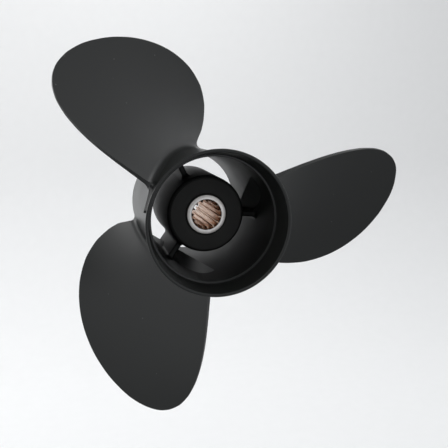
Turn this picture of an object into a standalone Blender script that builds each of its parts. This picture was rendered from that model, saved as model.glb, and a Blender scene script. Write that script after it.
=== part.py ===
"""Three-blade outboard propeller, right-hand rotation, with a rubber-damped splined hub.

The shaft axis is Y. The aft end of the hub faces -Y and the gearcase is at +Y. The origin is the
centre of the fore thrust face of the splined sleeve. "Depth" is the distance forward from the
aft rim of the diffuser ring, and angles run anticlockwise from +X to +Z as seen from aft.
The sleeve and its rubber bush are one body. The casting, which is everything else, twists on
the rubber about Y.
"""

import math

import bmesh
import bpy
import numpy as np

MM = 0.001
FIT_GAP = 0.3 * MM

# Driving dimensions
DIAMETER = 336.5 * MM
BLADE_COUNT = 3
PITCH = 523.0 * MM
PITCH_REFERENCE_RADIUS = 116.6 * MM
PITCH_FALL = 0.4365
AFT_RAKE = 0.348
BLADE_DEPTH = 62.4 * MM
BLADE_1_ANGLE = math.radians(122.0)

RING_RADIUS = 58.0 * MM
RING_LIP_BORE = 55.0 * MM
RING_STEP_BORE = 52.3 * MM
HUB_LENGTH = 148.7 * MM
BARREL_RADIUS = 53.2 * MM
BARREL_FORE_BORE = 48.2 * MM
BARREL_AFT_BORE = 50.6 * MM
RING_SEAM_DEPTH = 21.6 * MM
FLARE_START_DEPTH = 30.0 * MM

RIB_COUNT = 3
RIB_THICKNESS = 5.0 * MM
RIB_1_ANGLE = math.radians(114.5)
RIB_DEPTHS = (70.9 * MM, 134.9 * MM)
RIB_HUB_GAP = 0.4 * MM
RIB_BARREL_GAP = 0.55 * MM

INNER_HUB_DEPTHS = (53.4 * MM, 137.9 * MM)
INNER_HUB_RADII = (32.9 * MM, 34.9 * MM)
INNER_HUB_BORE = 28.3 * MM

BUSH_FACE_DEPTH = 51.6 * MM
BUSH_FORE_DEPTH = 135.9 * MM
BUSH_LIP_RADIUS = 30.9 * MM
SLEEVE_AFT_DEPTH = 50.2 * MM
SLEEVE_FORE_DEPTH = 141.9 * MM
SLEEVE_RADIUS = 16.7 * MM
SPLINE_TEETH = 15
SPLINE_MAJOR_RADIUS = 12.4 * MM
SPLINE_MINOR_RADIUS = 10.6 * MM
SLEEVE_MOUTH_RADIUS = 13.1 * MM

BLADE_ROOT_THICKNESS = 11.0 * MM
BLADE_TIP_THICKNESS = 2.6 * MM
BLADE_EDGE_THICKNESS = 2.2 * MM
FIN_THICKNESS = 2.6 * MM
FIN_HEIGHT = 2.8 * MM
FIN_ANGLES = (30.8, 47.5)
FIN_STATIONS = 8
FIN_FOOT_GAP = 0.45 * MM

ROUND_STEPS = 96
BLADE_SPANWISE = 15
BLADE_CHORDWISE = 14

# Blade edges as (radius in mm, degrees ahead of the blade's reference line)
LEADING_EDGE = [(53.2, 40.0), (60.0, 43.2), (70.0, 44.9), (80.0, 44.2), (95.0, 41.5),
                (110.0, 37.0), (125.0, 30.5), (138.0, 23.1), (150.0, 14.45), (158.0, 7.3),
                (164.0, 0.5), (167.0, -3.9)]
TRAILING_EDGE = [(53.2, -30.0), (60.0, -28.4), (70.0, -27.1), (80.0, -26.3), (95.0, -25.3),
                 (110.0, -24.3), (125.0, -23.0), (138.0, -21.5), (150.0, -19.5), (158.0, -17.4),
                 (164.0, -14.65), (167.0, -12.0)]
TIP_ANGLE = -8.3


def material(name, colour, roughness, metallic):
    """A Principled finish for one kind of part."""
    finish = bpy.data.materials.new(name)
    finish.use_nodes = True
    shader = finish.node_tree.nodes["Principled BSDF"]
    shader.inputs["Base Color"].default_value = (*colour, 1.0)
    shader.inputs["Roughness"].default_value = roughness
    shader.inputs["Metallic"].default_value = metallic
    return finish


def y_at(depth):
    """World Y of a point at this depth from the aft rim."""
    return depth - SLEEVE_FORE_DEPTH


def add_object(name, mesh, finish, collection):
    """Link a mesh as a named part and give it its finish."""
    part = bpy.data.objects.new(name, mesh)
    collection.objects.link(part)
    mesh.materials.append(finish)
    return part


def mesh_from(form, name):
    """Turn a bmesh into a mesh whose faces point out, and free the bmesh."""
    bmesh.ops.recalc_face_normals(form, faces=form.faces)
    mesh = bpy.data.meshes.new(name)
    form.to_mesh(mesh)
    form.free()
    return mesh


def turned(name, profile, finish, collection, steps=ROUND_STEPS):
    """A ring turned about Y from a closed profile of (radius, depth) points."""
    form = bmesh.new()
    points = [form.verts.new((radius, y_at(depth), 0.0)) for radius, depth in profile]
    for start, end in zip(points, points[1:] + points[:1]):
        form.edges.new((start, end))
    mesh = bpy.data.meshes.new(name)
    form.to_mesh(mesh)
    form.free()
    part = add_object(name, mesh, finish, collection)
    screw = part.modifiers.new("turn", "SCREW")
    screw.axis = "Y"
    screw.angle = math.tau
    screw.steps = steps
    screw.render_steps = steps
    screw.use_merge_vertices = True
    screw.merge_threshold = 0.00001
    screw.use_normal_flip = True
    screw.use_smooth_shade = True
    return part


def arc(centre, radius, start, end, count):
    """Profile points along an arc, in (radius, depth), angles in degrees."""
    turns = np.radians(np.linspace(start, end, count))
    return [(centre[0] + radius * math.cos(a), centre[1] + radius * math.sin(a)) for a in turns]


def outer_radius(depth):
    """Outside radius of the hub: a straight barrel that flares out to the aft ring."""
    if depth >= FLARE_START_DEPTH:
        return BARREL_RADIUS
    rise = 1.0 - depth / FLARE_START_DEPTH
    return BARREL_RADIUS + (RING_RADIUS - BARREL_RADIUS) * rise ** 1.6


def barrel_bore(depth):
    """Inside radius of the barrel, with casting draft that opens aft."""
    share = (depth - RING_SEAM_DEPTH) / (HUB_LENGTH - RING_SEAM_DEPTH)
    return BARREL_AFT_BORE + (BARREL_FORE_BORE - BARREL_AFT_BORE) * share


def build_barrel(finish, collection):
    """Exhaust barrel, from the ring seam to the fore rim."""
    edge = 1.0 * MM
    aft = RING_SEAM_DEPTH + FIT_GAP
    outside = [(outer_radius(d), d) for d in np.linspace(aft, FLARE_START_DEPTH, 6)]
    fore = [(BARREL_RADIUS, HUB_LENGTH - edge), (BARREL_RADIUS - edge, HUB_LENGTH),
            (BARREL_FORE_BORE + edge, HUB_LENGTH), (BARREL_FORE_BORE, HUB_LENGTH - edge)]
    inside = [(barrel_bore(aft), aft)]
    return turned("exhaust_barrel", outside + fore + inside, finish, collection)


def build_ring(finish, collection):
    """Flared diffuser ring that ends the barrel: a narrow flat aft rim, a wide plain bore.

    Its bore is larger than the barrel's, so the barrel's aft face shows as a step inside it.
    """
    lip = 0.9 * MM
    seam = RING_SEAM_DEPTH
    rim_outer = RING_RADIUS - lip
    rim_inner = RING_LIP_BORE + lip
    outside = [(outer_radius(d), d) for d in np.linspace(2.0 * MM, seam, 8)]
    outside[0] = (RING_RADIUS - 0.15 * MM, 2.0 * MM)
    inside = [(RING_STEP_BORE, seam), (RING_LIP_BORE, lip), (rim_inner, 0.0)]
    rim = [(rim_outer, 0.0)] + arc((rim_outer, lip), lip, -60, 0, 3)
    return turned("diffuser_ring", rim + outside + inside, finish, collection)


def build_inner_hub(finish, collection):
    """Inner hub tube that the damper bush is pressed into."""
    aft, fore = INNER_HUB_DEPTHS
    edge = 1.6 * MM
    profile = [(INNER_HUB_BORE, aft), (INNER_HUB_RADII[0] - edge, aft)]
    profile += arc((INNER_HUB_RADII[0] - edge, aft + edge), edge, -60, 0, 3)
    profile += [(INNER_HUB_RADII[1], fore - edge), (INNER_HUB_RADII[1] - edge, fore),
                (INNER_HUB_BORE, fore)]
    return turned("inner_hub", profile, finish, collection)


def build_bush(finish, collection):
    """Moulded rubber bush with an aft lip that covers the inner hub's rim."""
    bore = SLEEVE_RADIUS + FIT_GAP
    body = INNER_HUB_BORE - FIT_GAP
    lip_fore = INNER_HUB_DEPTHS[0] - FIT_GAP
    relief = 1.6 * MM
    round_edge = 0.6 * MM
    profile = [(bore, BUSH_FACE_DEPTH + relief), (bore + relief, BUSH_FACE_DEPTH),
               (BUSH_LIP_RADIUS - round_edge, BUSH_FACE_DEPTH),
               (BUSH_LIP_RADIUS, BUSH_FACE_DEPTH + round_edge), (BUSH_LIP_RADIUS, lip_fore),
               (body, lip_fore), (body, BUSH_FORE_DEPTH - relief),
               (body - relief, BUSH_FORE_DEPTH), (bore, BUSH_FORE_DEPTH)]
    return turned("rubber_bush", profile, finish, collection, 72)


def spline_outline():
    """Points of the internal spline: a root and a crest for each tooth."""
    points = []
    pitch = math.tau / SPLINE_TEETH
    for tooth in range(SPLINE_TEETH):
        for share, radius in ((-0.30, SPLINE_MAJOR_RADIUS), (0.0, SPLINE_MAJOR_RADIUS),
                              (0.30, SPLINE_MAJOR_RADIUS), (0.42, SPLINE_MINOR_RADIUS),
                              (0.58, SPLINE_MINOR_RADIUS)):
            points.append((radius, (tooth + share) * pitch))
    return points


def build_sleeve(finish, collection):
    """Splined sleeve: a turned outside, an internal spline and a chamfered mouth each end."""
    mouth = 1.4 * MM
    outline = spline_outline()
    count = len(outline)
    edge = 0.8 * MM
    stations = [
        (SLEEVE_AFT_DEPTH + mouth, None),
        (SLEEVE_AFT_DEPTH, SLEEVE_MOUTH_RADIUS),
        (SLEEVE_AFT_DEPTH, SLEEVE_RADIUS - edge),
        (SLEEVE_AFT_DEPTH + edge, SLEEVE_RADIUS),
        (SLEEVE_FORE_DEPTH - edge, SLEEVE_RADIUS),
        (SLEEVE_FORE_DEPTH, SLEEVE_RADIUS - edge),
        (SLEEVE_FORE_DEPTH, SLEEVE_MOUTH_RADIUS),
        (SLEEVE_FORE_DEPTH - mouth, None),
    ]
    form = bmesh.new()
    loops = []
    for depth, radius in stations:
        loop = []
        for spline_radius, angle in outline:
            reach = spline_radius if radius is None else radius
            loop.append(form.verts.new((reach * math.cos(angle), y_at(depth),
                                        reach * math.sin(angle))))
        loops.append(loop)
    for this, following in zip(loops, loops[1:] + loops[:1]):
        for i in range(count):
            j = (i + 1) % count
            form.faces.new((this[i], this[j], following[j], following[i]))
    mesh = mesh_from(form, "splined_sleeve")
    mesh.shade_smooth()
    mesh.set_sharp_from_angle(angle=math.radians(25.0))
    return add_object("splined_sleeve", mesh, finish, collection)


def build_rib(number, finish, collection):
    """Radial web between the inner hub and the barrel, a box with tapered ends."""
    form = bmesh.new()
    bmesh.ops.create_cube(form, size=1.0)
    for corner in form.verts:
        depth = RIB_DEPTHS[0] if corner.co.y < 0 else RIB_DEPTHS[1]
        share = (depth - INNER_HUB_DEPTHS[0]) / (INNER_HUB_DEPTHS[1] - INNER_HUB_DEPTHS[0])
        hub = INNER_HUB_RADII[0] + (INNER_HUB_RADII[1] - INNER_HUB_RADII[0]) * share
        inner = hub + RIB_HUB_GAP
        outer = barrel_bore(depth) - RIB_BARREL_GAP
        corner.co = (inner if corner.co.x < 0 else outer, y_at(depth),
                     math.copysign(0.5 * RIB_THICKNESS, corner.co.z))
    name = f"rib_{number + 1}"
    rib = add_object(name, mesh_from(form, name), finish, collection)
    rib.rotation_euler = (0.0, -(RIB_1_ANGLE - number * math.tau / RIB_COUNT), 0.0)
    return rib


def edge_angle(edge, radius):
    """Angle of a blade edge at a radius, in radians, closing at the tip."""
    radii = [r * MM for r, _ in edge] + [0.5 * DIAMETER]
    angles = [a for _, a in edge] + [TIP_ANGLE]
    # Near the tip both edges close like a round end, so they are read against its chord depth
    tip = 0.5 * DIAMETER + 0.2 * MM
    reach = [math.sqrt(tip - r) for r in radii]
    return math.radians(np.interp(-math.sqrt(tip - radius), [-q for q in reach], angles))


def blade_depth(radius, lead):
    """Depth of the blade's helicoid at a radius, for an angle ahead of the reference line."""
    pitch = PITCH - PITCH_FALL * (radius - PITCH_REFERENCE_RADIUS)
    rake = AFT_RAKE * (radius - PITCH_REFERENCE_RADIUS)
    return BLADE_DEPTH + pitch * lead / math.tau - rake


def helicoid_point(radius, lead):
    """A point of the helicoid, for a blade whose reference line lies along +X."""
    return np.array([radius * math.cos(lead), y_at(blade_depth(radius, lead)),
                     -radius * math.sin(lead)])


def helicoid_normal(radius, lead):
    """Unit normal of the helicoid that points forward, to the suction side."""
    step = 1e-4
    along = helicoid_point(radius, lead + step) - helicoid_point(radius, lead - step)
    out = helicoid_point(radius + step, lead) - helicoid_point(radius - step, lead)
    normal = np.cross(along, out)
    normal /= np.linalg.norm(normal)
    return normal if normal[1] > 0 else -normal


def blade_thickness(radius, share):
    """Full thickness at a radius and a share of the chord, 0 trailing to 1 leading."""
    span = (radius - BARREL_RADIUS) / (0.5 * DIAMETER - BARREL_RADIUS)
    crown = BLADE_TIP_THICKNESS + (BLADE_ROOT_THICKNESS - BLADE_TIP_THICKNESS) * (1 - span) ** 1.3
    crown -= BLADE_EDGE_THICKNESS
    return BLADE_EDGE_THICKNESS + crown * math.sin(math.pi * share) ** 0.9


def on_cylinder(point, radius):
    """Move a point along its own radius onto a cylinder about the shaft axis."""
    scale = radius / math.hypot(point[0], point[2])
    return np.array([point[0] * scale, point[1], point[2] * scale])


def blade_mesh():
    """Blade lofted from root to tip: flat pressure face aft, cambered suction face forward."""
    root = BARREL_RADIUS + FIT_GAP
    tip = 0.5 * DIAMETER - 0.1 * MM
    spans = 1.0 - (1.0 - np.linspace(0.0, 1.0, BLADE_SPANWISE)) ** 1.7
    chord = 0.5 - 0.5 * np.cos(np.pi * np.linspace(0.0, 1.0, BLADE_CHORDWISE + 1))
    form = bmesh.new()
    sections = []
    for row, span in enumerate(spans):
        radius = root + (tip - root) * span
        trailing = edge_angle(TRAILING_EDGE, radius)
        leading = edge_angle(LEADING_EDGE, radius)
        faces = ([], [])
        for share in chord:
            lead = trailing + (leading - trailing) * share
            centre = helicoid_point(radius, lead)
            normal = helicoid_normal(radius, lead)
            half_edge = 0.5 * BLADE_EDGE_THICKNESS
            offsets = (-half_edge, blade_thickness(radius, share) - half_edge)
            for side, offset in zip(faces, offsets):
                point = centre + normal * offset
                if row == 0:
                    point = on_cylinder(point, root)
                side.append(form.verts.new(point))
        sections.append(faces)
    last = BLADE_CHORDWISE
    for (aft, fore), (next_aft, next_fore) in zip(sections, sections[1:]):
        for i in range(last):
            form.faces.new((aft[i], aft[i + 1], next_aft[i + 1], next_aft[i]))
            form.faces.new((fore[i], next_fore[i], next_fore[i + 1], fore[i + 1]))
        form.faces.new((aft[0], next_aft[0], next_fore[0], fore[0]))
        form.faces.new((aft[last], fore[last], next_fore[last], next_aft[last]))
    for aft, fore in (sections[0], sections[-1]):
        for i in range(last):
            form.faces.new((aft[i], fore[i], fore[i + 1], aft[i + 1]))
    mesh = mesh_from(form, "blade")
    mesh.shade_smooth()
    mesh.set_sharp_from_angle(angle=math.radians(40.0))
    return mesh


def fin_mesh():
    """Low fin that carries the blade's trailing root aft along the flare, cut square."""
    form = bmesh.new()
    rows = []
    for lead in -np.radians(np.linspace(*FIN_ANGLES, FIN_STATIONS)):
        depth = blade_depth(RING_RADIUS, lead)
        normal = helicoid_normal(RING_RADIUS, lead)
        row = []
        for side in (-0.5, 0.5):
            foot = outer_radius(min(depth, depth + side * FIN_THICKNESS)) + FIN_FOOT_GAP
            for reach in (foot, outer_radius(depth) + FIN_HEIGHT):
                centre = helicoid_point(RING_RADIUS, lead) + normal * side * FIN_THICKNESS
                row.append(form.verts.new(on_cylinder(centre, reach)))
        rows.append((row[0], row[1], row[3], row[2]))
    for this, following in zip(rows, rows[1:]):
        for i in range(4):
            j = (i + 1) % 4
            form.faces.new((this[i], this[j], following[j], following[i]))
    form.faces.new(rows[0])
    form.faces.new(rows[-1])
    return mesh_from(form, "tail_fin")


def main():
    for leftover in list(bpy.data.objects):
        bpy.data.objects.remove(leftover, do_unlink=True)
    parts = bpy.data.collections.new("boat_propeller")
    bpy.context.scene.collection.children.link(parts)

    black_paint = material("satin_black_paint", (0.045, 0.048, 0.047), 0.45, 0.0)
    rubber = material("moulded_rubber", (0.03, 0.03, 0.029), 0.7, 0.0)
    bronze = material("machined_bronze", (0.62, 0.45, 0.32), 0.3, 1.0)

    build_sleeve(bronze, parts)
    build_bush(rubber, parts)
    build_inner_hub(black_paint, parts)
    build_barrel(black_paint, parts)
    build_ring(black_paint, parts)
    for number in range(RIB_COUNT):
        build_rib(number, black_paint, parts)

    blade = blade_mesh()
    blade.materials.append(black_paint)
    fin = fin_mesh()
    fin.materials.append(black_paint)
    for number in range(BLADE_COUNT):
        turn = -(BLADE_1_ANGLE - number * math.tau / BLADE_COUNT)
        for name, mesh in ((f"blade_{number + 1}", blade), (f"tail_fin_{number + 1}", fin)):
            part = bpy.data.objects.new(name, mesh)
            parts.objects.link(part)
            part.rotation_euler = (0.0, turn, 0.0)


main()
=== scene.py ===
"""Looks of a three-blade outboard propeller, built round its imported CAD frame.

The shaft axis is Y and the aft end faces -Y. "Depth" is the distance forward of the hub's aft
rim. A blade's "lead" is its angle ahead of the blade's own reference line, towards the leading
edge. The casting is black painted aluminium, and the sleeve is bronze with a machined end.
"""

import math

import bmesh
import bpy
import numpy as np
from mathutils import Matrix, Vector


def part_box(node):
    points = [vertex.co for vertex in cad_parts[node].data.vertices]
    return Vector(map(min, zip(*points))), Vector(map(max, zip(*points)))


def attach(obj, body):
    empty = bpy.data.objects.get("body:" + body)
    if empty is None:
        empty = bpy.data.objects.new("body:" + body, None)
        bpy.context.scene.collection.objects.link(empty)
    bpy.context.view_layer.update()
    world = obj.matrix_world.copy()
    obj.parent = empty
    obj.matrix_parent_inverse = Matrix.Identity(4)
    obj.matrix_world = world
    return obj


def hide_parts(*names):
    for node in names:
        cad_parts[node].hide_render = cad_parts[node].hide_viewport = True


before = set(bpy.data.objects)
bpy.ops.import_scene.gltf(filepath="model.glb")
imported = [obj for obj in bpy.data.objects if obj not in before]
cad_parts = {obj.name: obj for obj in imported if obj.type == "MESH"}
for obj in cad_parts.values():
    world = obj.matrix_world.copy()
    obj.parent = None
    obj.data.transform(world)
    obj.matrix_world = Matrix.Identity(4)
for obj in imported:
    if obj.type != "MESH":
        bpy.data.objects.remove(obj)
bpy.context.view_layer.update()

MM = 0.001

# Sizes read from the CAD frame
RING_LOW, RING_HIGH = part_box("diffuser_ring")
BARREL_LOW, BARREL_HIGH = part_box("exhaust_barrel")
HUB_LOW, HUB_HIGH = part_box("inner_hub")
BUSH_LOW, BUSH_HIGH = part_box("rubber_bush")
SLEEVE_LOW, SLEEVE_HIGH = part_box("splined_sleeve")
RIB_LOW, RIB_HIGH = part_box("rib_2")

AFT_Y = RING_LOW[1]
RING_RADIUS = RING_HIGH[0]
HUB_LENGTH = BARREL_HIGH[1] - AFT_Y
RING_DEPTH = RING_HIGH[1] - AFT_Y
INNER_HUB_DEPTHS = (HUB_LOW[1] - AFT_Y, HUB_HIGH[1] - AFT_Y)
INNER_HUB_FORE_RADIUS = HUB_HIGH[0]
BUSH_DEPTHS = (BUSH_LOW[1] - AFT_Y, BUSH_HIGH[1] - AFT_Y)
BUSH_LIP_RADIUS = BUSH_HIGH[0]
SLEEVE_DEPTHS = (SLEEVE_LOW[1] - AFT_Y, SLEEVE_HIGH[1] - AFT_Y)
SLEEVE_RADIUS = SLEEVE_HIGH[0]
RIB_DEPTHS = (RIB_LOW[1] - AFT_Y, RIB_HIGH[1] - AFT_Y)

# Sizes that the CAD solids share with their design
BARREL_RADIUS = 53.2 * MM
FLARE_START = 30.0 * MM
LIP_BORE = 55.0 * MM
STEP_BORE = 52.3 * MM
AFT_BORE = 50.6 * MM
FORE_BORE = 48.2 * MM
INNER_HUB_AFT_RADIUS = 32.9 * MM
INNER_HUB_BORE = 28.3 * MM
SPLINE_TEETH = 15
SPLINE_MAJOR = 12.4 * MM
SPLINE_MINOR = 10.6 * MM
SLEEVE_MOUTH = 13.1 * MM

TIP_RADIUS = 168.25 * MM
PITCH = 523.0 * MM
PITCH_FALL = 0.4365
AFT_RAKE = 0.348
BLADE_DEPTH = 62.4 * MM
MID_RADIUS = 116.6 * MM
BLADE_ANGLES = [math.radians(122.0 - 120.0 * number) for number in range(3)]
RIB_ANGLES = [math.radians(114.5 - 120.0 * number) for number in range(3)]

# Blade edges as (radius in mm, lead in degrees)
LEADING_EDGE = [(53.2, 40.0), (60.0, 43.2), (70.0, 44.9), (80.0, 44.2), (95.0, 41.5),
                (110.0, 37.0), (125.0, 30.5), (138.0, 23.1), (150.0, 14.45), (158.0, 7.3),
                (164.0, 0.5), (167.0, -3.9)]
TRAILING_EDGE = [(53.2, -29.0), (60.0, -28.2), (70.0, -27.1), (80.0, -26.3), (95.0, -25.3),
                 (110.0, -24.3), (125.0, -23.0), (138.0, -21.5), (150.0, -19.5), (158.0, -17.4),
                 (164.0, -14.65), (167.0, -12.0)]
TIP_LEAD = -8.3


# ---------------------------------------------------------------- shared shape tools

def y_at(depth):
    """World Y at a depth from the aft rim."""
    return AFT_Y + depth


def link_mesh(name, form, sharp_degrees=35.0):
    """A smooth-shaded object from a bmesh, with its faces pointing out."""
    bmesh.ops.recalc_face_normals(form, faces=form.faces)
    mesh = bpy.data.meshes.new(name)
    form.to_mesh(mesh)
    form.free()
    mesh.shade_smooth()
    mesh.set_sharp_from_angle(angle=math.radians(sharp_degrees))
    piece = bpy.data.objects.new(name, mesh)
    bpy.context.scene.collection.objects.link(piece)
    return piece


def loft(name, loops, close_ring=False, sharp_degrees=35.0):
    """A closed skin through loops of points, all of one length, joined up or capped."""
    form = bmesh.new()
    rows = [[form.verts.new(point) for point in loop] for loop in loops]
    pairs = list(zip(rows, rows[1:]))
    if close_ring:
        pairs.append((rows[-1], rows[0]))
    count = len(rows[0])
    for this, following in pairs:
        for i in range(count):
            j = (i + 1) % count
            form.faces.new((this[i], this[j], following[j], following[i]))
    if not close_ring:
        form.faces.new(rows[0])
        form.faces.new(rows[-1])
    return link_mesh(name, form, sharp_degrees)


def turned(name, profile, steps=192):
    """A ring turned about the shaft axis from a closed (radius, depth) profile."""
    loops = []
    for turn in np.linspace(0.0, math.tau, steps, endpoint=False):
        loops.append([(r * math.cos(turn), y_at(d), r * math.sin(turn)) for r, d in profile])
    return loft(name, loops, close_ring=True)


def rounded(corners, radii, steps=5):
    """A closed profile with each corner rounded by its own radius."""
    side_share = 0.48  # a rounding takes less than half of each side, so neighbours stay clear
    points = []
    count = len(corners)
    for i, radius in enumerate(radii):
        here = np.array(corners[i], float)
        if radius <= 0:
            points.append(tuple(here))
            continue
        before = np.array(corners[i - 1], float) - here
        after = np.array(corners[(i + 1) % count], float) - here
        reach_before = min(radius, side_share * np.linalg.norm(before))
        reach_after = min(radius, side_share * np.linalg.norm(after))
        start = here + before / np.linalg.norm(before) * reach_before
        end = here + after / np.linalg.norm(after) * reach_after
        for share in np.linspace(0.0, 1.0, steps):
            curve = (1 - share) ** 2 * start + 2 * share * (1 - share) * here + share ** 2 * end
            points.append(tuple(curve))
    return points


def finish_piece(piece, body, paint, slot, *nodes):
    """Material, body and the CAD nodes that a piece stands for. The slot argument is not used."""
    if not piece.data.materials:
        piece.data.materials.append(paint)
    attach(piece, body)
    if nodes:
        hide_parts(*nodes)


# ---------------------------------------------------------------- materials

def linear(hex_colour):
    """An sRGB hex colour as linear RGBA."""
    channels = [int(hex_colour[i:i + 2], 16) / 255.0 for i in (1, 3, 5)]
    turned_linear = [c / 12.92 if c <= 0.04045 else ((c + 0.055) / 1.055) ** 2.4 for c in channels]
    return (*turned_linear, 1.0)


def add_node(tree, kind, inputs=None, **settings):
    """A node with its settings, and its inputs set to a value or linked from a socket."""
    made = tree.nodes.new(kind)
    for name, value in settings.items():
        setattr(made, name, value)
    for socket, value in (inputs or {}).items():
        if isinstance(value, bpy.types.NodeSocket):
            tree.links.new(value, made.inputs[socket])
        else:
            made.inputs[socket].default_value = value
    return made


def new_material(name):
    """An empty node material with a Principled shader and object coordinates."""
    made = bpy.data.materials.new(name)
    made.use_nodes = True
    tree = made.node_tree
    shader = tree.nodes["Principled BSDF"]
    place = add_node(tree, "ShaderNodeTexCoord").outputs["Object"]
    return made, tree, shader, place


def colour_ramp(tree, factor, stops):
    """A colour ramp node's output through (position, colour) stops."""
    ramp = add_node(tree, "ShaderNodeValToRGB", {"Fac": factor})
    elements = ramp.color_ramp.elements
    for element, (position, colour) in zip(elements, (stops[0], stops[-1])):
        element.position = position
        element.color = colour
    for position, colour in stops[1:-1]:
        elements.new(position).color = colour
    return ramp.outputs["Color"]


def black_paint(name, dark, light, smoothest, dullest, sheen_level=0.5):
    """Satin black enamel sprayed over a primed sand-cast aluminium body.

    It gives the eye a deep neutral black with a broad soft sheen, faint orange peel, slow
    unevenness from the casting under it, and a few pale dust nibs. Outside it was rubbed down
    between coats. Inside the hub it lies thin and dry on the rough casting skin, so it is
    duller and its sheen weaker; its darker colour there is painted shade for the hollow of the
    hub. Real peel is a millimetre across and is drawn 3 mm across, so that it shows.
    """
    made, tree, shader, place = new_material(name)
    cast_wave = add_node(tree, "ShaderNodeTexNoise",
                         {"Vector": place, "Scale": 1 / (28 * MM), "Detail": 3.0})
    peel = add_node(tree, "ShaderNodeTexNoise",
                    {"Vector": place, "Scale": 1 / (3 * MM), "Detail": 2.0})
    cloud = add_node(tree, "ShaderNodeTexNoise",
                     {"Vector": place, "Scale": 1 / (60 * MM), "Detail": 2.0})
    body_colour = colour_ramp(tree, cloud.outputs["Fac"],
                              [(0.3, linear(dark)), (0.7, linear(light))])
    # Dust nibs: one in each 9 mm cell, kept in about a quarter of the cells, 0.8 mm across
    cells = add_node(tree, "ShaderNodeTexVoronoi",
                     {"Vector": place, "Scale": 1 / (9 * MM), "Randomness": 1.0})
    spot = add_node(tree, "ShaderNodeMath", {0: cells.outputs["Distance"], 1: 0.045},
                    operation="LESS_THAN")
    chosen = add_node(tree, "ShaderNodeSeparateColor", {"Color": cells.outputs["Color"]})
    kept = add_node(tree, "ShaderNodeMath", {0: chosen.outputs["Red"], 1: 0.72},
                    operation="GREATER_THAN")
    nib = add_node(tree, "ShaderNodeMath", {0: spot.outputs[0], 1: kept.outputs[0]},
                   operation="MULTIPLY")
    nib_share = add_node(tree, "ShaderNodeMath", {0: nib.outputs[0], 1: 0.35},
                         operation="MULTIPLY")
    coloured = add_node(tree, "ShaderNodeMix",
                        {"Factor": nib_share.outputs[0], 6: body_colour, 7: linear("#8f9290")},
                        data_type="RGBA")
    gloss = add_node(tree, "ShaderNodeMapRange",
                     {"Value": cloud.outputs["Fac"], "From Min": 0.3, "From Max": 0.7,
                      "To Min": smoothest, "To Max": dullest})
    waves = add_node(tree, "ShaderNodeBump",
                     {"Height": cast_wave.outputs["Fac"], "Strength": 0.2,
                      "Distance": 0.3 * MM})
    grain = add_node(tree, "ShaderNodeBump",
                     {"Height": peel.outputs["Fac"], "Strength": 0.2, "Distance": 0.03 * MM,
                      "Normal": waves.outputs["Normal"]})
    tree.links.new(coloured.outputs[2], shader.inputs["Base Color"])
    tree.links.new(gloss.outputs["Result"], shader.inputs["Roughness"])
    tree.links.new(grain.outputs["Normal"], shader.inputs["Normal"])
    shader.inputs["IOR"].default_value = 1.5
    shader.inputs["Specular IOR Level"].default_value = sheen_level
    return made


def moulded_rubber():
    """Vulcanised nitrile rubber, compression moulded and left as it came out of the mould.

    It gives the eye a warm matt near-black with a fine mould grain and almost no highlight.
    """
    made, tree, shader, place = new_material("moulded_nitrile_rubber")
    cloud = add_node(tree, "ShaderNodeTexNoise",
                     {"Vector": place, "Scale": 1 / (14 * MM), "Detail": 3.0})
    tint = colour_ramp(tree, cloud.outputs["Fac"],
                       [(0.3, linear("#191918")), (0.7, linear("#20201e"))])
    grain = add_node(tree, "ShaderNodeTexNoise",
                     {"Vector": place, "Scale": 1 / (0.7 * MM), "Detail": 2.0})
    bump = add_node(tree, "ShaderNodeBump", {"Height": grain.outputs["Fac"], "Strength": 0.4,
                                             "Distance": 0.05 * MM})
    tree.links.new(tint, shader.inputs["Base Color"])
    tree.links.new(bump.outputs["Normal"], shader.inputs["Normal"])
    shader.inputs["Roughness"].default_value = 0.72
    shader.inputs["IOR"].default_value = 1.52
    return made


def machined_metal():
    """The sleeve's turned ends: cast bronze faced in a lathe and tinned, so it looks silver.

    It gives the eye a bright satin ring with faint concentric tool marks. Real marks are
    0.1 mm apart and are drawn as soft bands 2 mm apart, because finer ones wouldn't show.
    """
    made, tree, shader, place = new_material("lathe_faced_tinned_bronze")
    turn = add_node(tree, "ShaderNodeMapping",
                    {"Vector": place, "Rotation": (math.radians(90.0), 0.0, 0.0)})
    rings = add_node(tree, "ShaderNodeTexWave",
                     {"Vector": turn.outputs["Vector"], "Scale": 1 / (6.3 * MM),
                      "Distortion": 0.6, "Detail": 2.0},
                     wave_type="RINGS", rings_direction="Z")
    cloud = add_node(tree, "ShaderNodeTexNoise",
                     {"Vector": place, "Scale": 1 / (5 * MM), "Detail": 3.0})
    tint = colour_ramp(tree, cloud.outputs["Fac"],
                       [(0.3, linear("#dedad5")), (0.7, linear("#f0edea"))])
    bump = add_node(tree, "ShaderNodeBump", {"Height": rings.outputs["Fac"], "Strength": 0.3,
                                             "Distance": 0.03 * MM})
    tree.links.new(tint, shader.inputs["Base Color"])
    tree.links.new(bump.outputs["Normal"], shader.inputs["Normal"])
    shader.inputs["Metallic"].default_value = 1.0
    shader.inputs["Roughness"].default_value = 0.38
    return made


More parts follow.
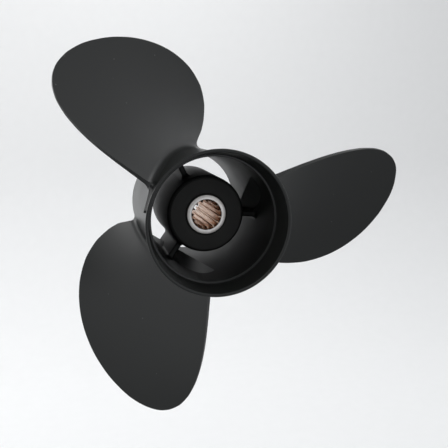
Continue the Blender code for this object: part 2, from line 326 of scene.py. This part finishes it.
def broached_bronze():
    """The spline's bore: phosphor bronze cut by a broach and left bare.

    It gives the eye a warm brown-copper metal with fine streaks along the shaft axis.
    """
    made, tree, shader, place = new_material("broached_phosphor_bronze")
    stretched = add_node(tree, "ShaderNodeMapping",
                         {"Vector": place, "Scale": (1.0, 0.04, 1.0)})
    streaks = add_node(tree, "ShaderNodeTexNoise",
                       {"Vector": stretched.outputs["Vector"], "Scale": 1 / (0.8 * MM),
                        "Detail": 3.0})
    tint = colour_ramp(tree, streaks.outputs["Fac"],
                       [(0.3, linear("#8f6a52")), (0.5, linear("#c39d82")),
                        (0.7, linear("#eddccd"))])
    bump = add_node(tree, "ShaderNodeBump", {"Height": streaks.outputs["Fac"],
                                             "Strength": 0.3, "Distance": 0.05 * MM})
    tree.links.new(tint, shader.inputs["Base Color"])
    tree.links.new(bump.outputs["Normal"], shader.inputs["Normal"])
    shader.inputs["Metallic"].default_value = 1.0
    shader.inputs["Roughness"].default_value = 0.3
    return made


def backdrop_paper():
    """Matt pale studio paper, with a cloudiness too faint to notice."""
    made, tree, shader, place = new_material("studio_paper")
    cloud = add_node(tree, "ShaderNodeTexNoise", {"Vector": place, "Scale": 1 / (25 * MM)})
    tint = colour_ramp(tree, cloud.outputs["Fac"],
                       [(0.0, linear("#eeeeee")), (1.0, linear("#f1f1f1"))])
    tree.links.new(tint, shader.inputs["Base Color"])
    shader.inputs["Roughness"].default_value = 0.95
    return made


# ---------------------------------------------------------------- hub castings

def outer_radius(depth):
    """Outside radius of the hub, straight and then flared to the aft ring."""
    bell_power = 1.6
    rise = max(0.0, 1.0 - depth / FLARE_START)
    return BARREL_RADIUS + (RING_RADIUS - BARREL_RADIUS) * rise ** bell_power


def barrel_bore(depth):
    """Inside radius of the barrel, with casting draft that opens aft."""
    share = (depth - RING_DEPTH) / (HUB_LENGTH - RING_DEPTH)
    return AFT_BORE + (FORE_BORE - AFT_BORE) * share


def hub_radius(depth):
    """Outside radius of the inner hub, with draft that widens it forward."""
    aft, fore = INNER_HUB_DEPTHS
    share = (depth - aft) / (fore - aft)
    return INNER_HUB_AFT_RADIUS + (INNER_HUB_FORE_RADIUS - INNER_HUB_AFT_RADIUS) * share


def build_barrel():
    """Barrel and diffuser ring as one skin, with a round aft lip and a step inside it."""
    lip_depth = 3.0 * MM
    outside = [(outer_radius(d), d) for d in np.linspace(lip_depth, FLARE_START, 14)]
    corners = [(LIP_BORE, 0.0), (RING_RADIUS, 0.0)] + outside
    radii = [1.4 * MM, 1.5 * MM] + [0.0] * len(outside)
    corners += [(BARREL_RADIUS, HUB_LENGTH), (FORE_BORE, HUB_LENGTH)]
    radii += [1.6 * MM, 1.2 * MM]
    corners += [(AFT_BORE, RING_DEPTH), (STEP_BORE, RING_DEPTH)]
    radii += [0.5 * MM, 0.4 * MM]
    barrel = turned("casting_barrel", rounded(corners, radii))
    barrel.data.materials.append(PAINT)
    barrel.data.materials.append(SHADED_INNER_PAINT)
    # Faces inside the bore take the darker inner paint, whose extra darkness is painted shade.
    for face in barrel.data.polygons:
        reach = math.hypot(face.center.x, face.center.z)
        if reach < AFT_BORE + 0.1 * MM:
            face.material_index = 1
    return barrel


def build_inner_hub():
    """Inner hub tube with a rounded aft rim."""
    aft, fore = INNER_HUB_DEPTHS
    corners = [(INNER_HUB_BORE, aft), (hub_radius(aft), aft), (hub_radius(fore), fore),
               (INNER_HUB_BORE, fore)]
    return turned("casting_inner_hub", rounded(corners, [0.5 * MM, 2.2 * MM, 1.6 * MM, 0.8 * MM]))


def build_rib(number):
    """Cast web from the inner hub to the barrel, with a fillet at each end and a round nose."""
    half = 2.5 * MM
    fillet = 3.0 * MM
    nose = 1.6 * MM
    sunk = -1.2 * MM
    aft, fore = RIB_DEPTHS
    angle = RIB_ANGLES[number]
    out = Vector((math.cos(angle), 0.0, math.sin(angle)))
    side = Vector((-math.sin(angle), 0.0, math.cos(angle)))
    loops = []
    turns = np.linspace(0.0, 0.5 * math.pi, 6)
    flare = [(fillet * (1 - math.cos(t)), fillet * (1 - math.sin(t))) for t in turns]
    rows = [("hub", height, grow) for height, grow in flare]
    rows += [("barrel", height, grow) for height, grow in reversed(flare)]
    rows.insert(0, ("hub", sunk, fillet))
    rows.append(("barrel", sunk, fillet))
    for end, height, grow in rows:
        loop = []
        width = half + grow
        outline = rounded([(-width, aft - grow), (width, aft - grow), (width, fore + grow),
                           (-width, fore + grow)], [nose + 0.5 * grow] * 4)
        for across, depth in outline:
            base = hub_radius(depth) + height if end == "hub" else barrel_bore(depth) - height
            reach = math.sqrt(base * base - across * across)
            point = out * reach + side * across
            point.y = y_at(depth)
            loop.append(point)
        loops.append(loop)
    return loft(f"casting_rib_{number + 1}", loops)


# ---------------------------------------------------------------- blades

def edge_lead(edge, radius):
    """Lead of a blade edge at a radius, in radians, both edges meeting at the tip."""
    tip = TIP_RADIUS + 0.2 * MM
    reach = [-math.sqrt(tip - r * MM) for r, _ in edge] + [-math.sqrt(tip - TIP_RADIUS)]
    leads = [lead for _, lead in edge] + [TIP_LEAD]
    return math.radians(np.interp(-math.sqrt(tip - radius), reach, leads))


def blade_depth(radius, lead):
    """Depth of the blade's helicoid at a radius and a lead."""
    pitch = PITCH - PITCH_FALL * (radius - MID_RADIUS)
    return BLADE_DEPTH + pitch * lead / math.tau - AFT_RAKE * (radius - MID_RADIUS)


def developed(radius, lead, along, normal, reference):
    """A point off the helicoid on its own cylinder, by arc along the chord and across it."""
    pitch = PITCH - PITCH_FALL * (radius - MID_RADIUS)
    slope = math.hypot(radius, pitch / math.tau)
    ahead = Vector((radius, pitch / math.tau)) / slope
    across = Vector((-ahead.y, ahead.x))
    arc, rise = ahead * along + across * normal
    angle = reference - (lead + arc / radius)
    depth = blade_depth(radius, lead) + rise
    return (radius * math.cos(angle), y_at(depth), radius * math.sin(angle))


def section(chord, crown, trailing, leading, grow):
    """Outline of one blade section as (along, across) points about its middle.

    The pressure face is flat, the suction face is crowned, the trailing edge is cut square
    and the leading edge is round. grow swells the outline outward for the root fillet.
    """
    half = 0.5 * chord
    cosine = 0.5 - 0.5 * np.cos(np.pi * np.linspace(0.0, 1.0, 31))
    thick = [trailing + (leading - trailing) * s for s in cosine]
    rise = [(crown - 0.5 * (trailing + leading)) * math.sin(math.pi * s) ** 0.9 for s in cosine]
    nose = 0.5 * leading
    run = chord - nose
    pressure = [(-half + s * run, -0.5 * t) for s, t in zip(cosine, thick)]
    suction = [(-half + s * run, 0.5 * t + up) for s, t, up in zip(cosine, thick, rise)]
    front = [(half - nose + nose * math.cos(a), nose * math.sin(a))
             for a in np.linspace(-0.5 * math.pi, 0.5 * math.pi, 9)[1:-1]]
    loop = np.array(pressure + front + suction[::-1])
    if grow <= 0.0:
        return loop
    before = loop - np.roll(loop, 1, axis=0)
    after = np.roll(loop, -1, axis=0) - loop
    tangent = before / np.linalg.norm(before, axis=1)[:, None]
    tangent += after / np.linalg.norm(after, axis=1)[:, None]
    tangent /= np.linalg.norm(tangent, axis=1)[:, None]
    outward = np.stack([tangent[:, 1], -tangent[:, 0]], axis=1)
    return loop + outward * grow


def build_blade(number):
    """One blade with its root fillet, sunk a little into the barrel.

    Crown and edge thicknesses run from their tip value by a gain towards the root, and every
    thickness shrinks together where the chord runs out at the tip.
    """
    fillet = 8.0 * MM
    tip_crown, crown_gain = 2.4 * MM, 8.6 * MM
    tip_trailing, trailing_gain = 1.7 * MM, 2.1 * MM
    tip_leading, leading_gain = 1.2 * MM, 0.8 * MM
    full_chord = 14 * MM
    fore_limit = y_at(HUB_LENGTH - 1.0 * MM)
    sunk = (BARREL_RADIUS - 0.6 * MM, fillet + 2.0 * MM)
    turns = np.linspace(0.0, 0.5 * math.pi, 12)
    rows = [sunk] + [(BARREL_RADIUS + fillet * (1 - math.cos(t)), fillet * (1 - math.sin(t)))
                     for t in turns]
    spans = 1.0 - (1.0 - np.linspace(0.0, 1.0, 56)[1:]) ** 1.8
    start = rows[-1][0]
    tip = TIP_RADIUS - 0.05 * MM
    rows += [(start + (tip - start) * s, 0.0) for s in spans]
    loops = []
    for radius, grow in rows:
        span = (radius - BARREL_RADIUS) / (TIP_RADIUS - BARREL_RADIUS)
        span = min(1.0, max(0.0, span))
        edge_radius = max(radius, BARREL_RADIUS)
        trailing_lead = edge_lead(TRAILING_EDGE, edge_radius)
        leading_lead = edge_lead(LEADING_EDGE, edge_radius)
        lead = 0.5 * (trailing_lead + leading_lead)
        pitch = PITCH - PITCH_FALL * (radius - MID_RADIUS)
        chord = (leading_lead - trailing_lead) * math.hypot(radius, pitch / math.tau)
        crown = tip_crown + crown_gain * (1 - span) ** 1.3
        trailing = tip_trailing + trailing_gain * (1 - span)
        leading = tip_leading + leading_gain * (1 - span)
        thin = min(1.0, chord / full_chord)
        outline = section(chord, crown * thin, trailing * thin, leading * thin, grow)
        loop = [developed(radius, lead, along, across, BLADE_ANGLES[number])
                for along, across in outline]
        if grow > 0.0:
            # The root fillet is trimmed just short of the barrel's fore rim
            loop = [(x, min(y, fore_limit), z) for x, y, z in loop]
        loops.append(loop)
    return loft(f"casting_blade_{number + 1}", loops, sharp_degrees=45.0)


def build_tail_fin(number):
    """Low fin that carries the trailing root aft along the flare to a square-cut end."""
    half = 1.3 * MM
    fillet = 1.2 * MM
    height = 2.8 * MM
    sunk = 0.5 * MM
    chamfer = 0.4 * MM
    fore_lag, aft_lag = 27.0, 47.5
    loops = []
    for lead in -np.radians(np.linspace(fore_lag, aft_lag, 24)):
        surface = outer_radius(blade_depth(RING_RADIUS, lead))
        foot = surface - sunk
        top = surface + height
        side = [(half + fillet * (1 - math.sin(t)), foot + fillet * (1 - math.cos(t)))
                for t in np.linspace(0.0, 0.5 * math.pi, 5)]
        side += [(half, top - chamfer), (half - chamfer, top)]
        whole = [(-across, reach) for across, reach in side] + side[::-1]
        loop = []
        for across, reach in whole:
            x, y, z = developed(RING_RADIUS, lead, 0.0, across, BLADE_ANGLES[number])
            scale = reach / RING_RADIUS
            loop.append((x * scale, y, z * scale))
        loops.append(loop)
    return loft(f"casting_tail_fin_{number + 1}", loops)


# ---------------------------------------------------------------- sleeve and bush

def build_bush():
    """Rubber bush: an aft lip over the hub's rim, and a chamfer round the sleeve."""
    aft, fore = BUSH_DEPTHS
    gap = 0.3 * MM
    bore = SLEEVE_RADIUS + gap
    body = INNER_HUB_BORE - gap
    lip_fore = INNER_HUB_DEPTHS[0] - gap
    corners = [(bore, aft + 1.6 * MM), (bore + 1.4 * MM, aft), (BUSH_LIP_RADIUS, aft),
               (BUSH_LIP_RADIUS, lip_fore), (body, lip_fore), (body, fore), (bore, fore)]
    radii = [0.0, 0.8 * MM, 1.0 * MM, 0.3 * MM, 0.3 * MM, 2.0 * MM, 0.5 * MM]
    return turned("bush", rounded(corners, radii))


def spline_radius(angle):
    """Radius of the internal spline's wall at an angle: wide roots and narrow rounded crests."""
    share = (angle * SPLINE_TEETH / math.tau) % 1.0
    off_crest = abs(share - 0.5)
    crest_half, root_half = 0.10, 0.22
    rise = min(1.0, max(0.0, (off_crest - crest_half) / (root_half - crest_half)))
    smooth = rise * rise * (3 - 2 * rise)
    return SPLINE_MINOR + (SPLINE_MAJOR - SPLINE_MINOR) * smooth


def build_sleeve():
    """Sleeve with its spline, chamfered mouths and turned ends: two finishes on one piece."""
    aft, fore = SLEEVE_DEPTHS
    chamfer = 0.7 * MM
    mouth = 1.5 * MM
    steps_per_tooth = 24
    steps = SPLINE_TEETH * steps_per_tooth
    rings = [(aft + mouth, None), (aft + 0.35 * MM, SLEEVE_MOUTH - 0.25 * MM),
             (aft, SLEEVE_MOUTH + 0.1 * MM),
             (aft, SLEEVE_RADIUS - chamfer), (aft + 0.2 * MM, SLEEVE_RADIUS - 0.2 * MM),
             (aft + chamfer, SLEEVE_RADIUS), (fore - chamfer, SLEEVE_RADIUS),
             (fore, SLEEVE_RADIUS - chamfer), (fore, SLEEVE_MOUTH),
             (fore - mouth, None)]
    bored = [(fore - mouth + (aft + 2 * mouth - fore) * s, None) for s in (0.25, 0.5, 0.75)]
    loops = []
    for depth, radius in rings + bored:
        loop = []
        for angle in np.linspace(0.0, math.tau, steps, endpoint=False):
            reach = spline_radius(angle) if radius is None else radius
            loop.append((reach * math.cos(angle), y_at(depth), reach * math.sin(angle)))
        loops.append(loop)
    sleeve = loft("sleeve", loops, close_ring=True, sharp_degrees=30.0)
    finish_piece(sleeve, "splined_hub", MACHINED, "bronze", "splined_sleeve")
    sleeve.data.materials.append(BRONZE)
    limit = SLEEVE_MOUTH - 0.1 * MM
    for face in sleeve.data.polygons:
        if math.hypot(face.center.x, face.center.z) < limit:
            face.material_index = 1


# ---------------------------------------------------------------- assembly

PAINT = black_paint("satin_black_enamel", "#0e100f", "#131514", 0.34, 0.42)
# The inner paint is a darker copy of the outer paint: painted shade inside the barrel, ribs and
# inner hub.
SHADED_INNER_PAINT = black_paint("inner_black_enamel_painted_shade", "#060706", "#090a09", 0.46, 0.54, 0.36)
RUBBER = moulded_rubber()
MACHINED = machined_metal()
BRONZE = broached_bronze()

finish_piece(build_barrel(), "casting", PAINT, "black_paint", "exhaust_barrel", "diffuser_ring")
finish_piece(build_inner_hub(), "casting", SHADED_INNER_PAINT, "black_paint", "inner_hub")
for number in range(3):
    label = number + 1
    finish_piece(build_rib(number), "casting", SHADED_INNER_PAINT, "black_paint", f"rib_{label}")
    finish_piece(build_blade(number), "casting", PAINT, "black_paint", f"blade_{label}")
    finish_piece(build_tail_fin(number), "casting", PAINT, "black_paint", f"tail_fin_{label}")
finish_piece(build_bush(), "splined_hub", RUBBER, "rubber", "rubber_bush")
build_sleeve()


# ---------------------------------------------------------------- studio

def build_backdrop():
    """A pale paper sweep: floor below, wall behind, joined by a wide curve."""
    floor_z = -0.55
    front_y = 0.15
    wall_y = 1.3
    bend = 0.5
    top_z = 1.9
    half_width = 2.6
    outline = [(front_y, floor_z)]
    for turn in np.linspace(-0.5 * math.pi, 0.0, 16):
        outline.append((wall_y - bend + bend * math.cos(turn),
                        floor_z + bend + bend * math.sin(turn)))
    outline.append((wall_y, top_z))
    form = bmesh.new()
    rows = [[form.verts.new((x, y, z)) for y, z in outline] for x in (-half_width, half_width)]
    for i in range(len(outline) - 1):
        form.faces.new((rows[0][i], rows[1][i], rows[1][i + 1], rows[0][i + 1]))
    sweep = link_mesh("paper_sweep", form)
    sweep.data.materials.append(backdrop_paper())


def add_light(name, place, target, size, power, colour):
    """A square area light that faces a target."""
    lamp = bpy.data.lights.new(name, "AREA")
    lamp.size = size
    lamp.energy = power
    lamp.color = linear(colour)[:3]
    holder = bpy.data.objects.new(name, lamp)
    bpy.context.scene.collection.objects.link(holder)
    holder.location = place
    aim = Vector(target) - Vector(place)
    holder.rotation_euler = aim.to_track_quat("-Z", "Y").to_euler()


def build_camera():
    """The camera: above and to the left of the shaft axis, a short tele lens."""
    yaw = math.radians(14.04)
    pitch = math.radians(9.94)
    aim_depth = 3.9 * MM
    distance = 459.6 * MM
    slide = (-3.4 * MM, 0.2 * MM)
    lens = bpy.data.cameras.new("camera")
    lens.sensor_width = 36.0
    lens.lens = 47.9
    lens.clip_start = 0.01
    camera = bpy.data.objects.new("camera", lens)
    turn = (Matrix.Rotation(math.radians(90.0), 4, "X") @ Matrix.Rotation(-yaw, 4, "Y")
            @ Matrix.Rotation(-pitch, 4, "X"))
    place = turn @ Vector((-slide[0], -slide[1], distance))
    camera.matrix_world = Matrix.Translation(place + Vector((0.0, y_at(aim_depth), 0.0))) @ turn
    bpy.context.scene.collection.objects.link(camera)
    bpy.context.scene.camera = camera


def build_world():
    """A light tent that is open to a dim room on the aft side, and dimmer below than above."""
    world = bpy.data.worlds.new("light_tent")
    world.use_nodes = True
    tree = world.node_tree
    place = add_node(tree, "ShaderNodeTexCoord").outputs["Generated"]
    axes = add_node(tree, "ShaderNodeSeparateXYZ", {"Vector": place}).outputs
    level = add_node(tree, "ShaderNodeMapRange", {"Value": axes["Z"], "From Min": -1.0,
                                                  "From Max": 1.0})
    tent = colour_ramp(tree, level.outputs["Result"],
                       [(0.1, linear("#b0b2b4")), (0.55, linear("#f0f2f4"))])
    opening = add_node(tree, "ShaderNodeMapRange",
                       {"Value": axes["Y"], "From Min": -1.0, "From Max": -0.55,
                        "To Min": 0.25, "To Max": 1.0})
    lit = add_node(tree, "ShaderNodeVectorMath", {0: tent, "Scale": opening.outputs["Result"]},
                   operation="SCALE")
    glow = tree.nodes["Background"]
    tree.links.new(lit.outputs["Vector"], glow.inputs["Color"])
    glow.inputs["Strength"].default_value = 1.05
    bpy.context.scene.world = world


bpy.context.scene.view_settings.view_transform = "Standard"
build_backdrop()
build_camera()
build_world()
HUB_MIDDLE = (0.0, -0.07, 0.0)
WALL_MIDDLE = (0.0, 1.3, 0.35)
add_light("wall_wash", (0.0, 0.35, 1.1), WALL_MIDDLE, 1.0, 7.5, "#ffffff")
add_light("left_rim", (-1.2, 0.9, 0.2), HUB_MIDDLE, 0.7, 3.5, "#ffffff")
add_light("aft_fill", (0.36, -1.55, -0.26), HUB_MIDDLE, 0.5, 0.9, "#f6f8ff")
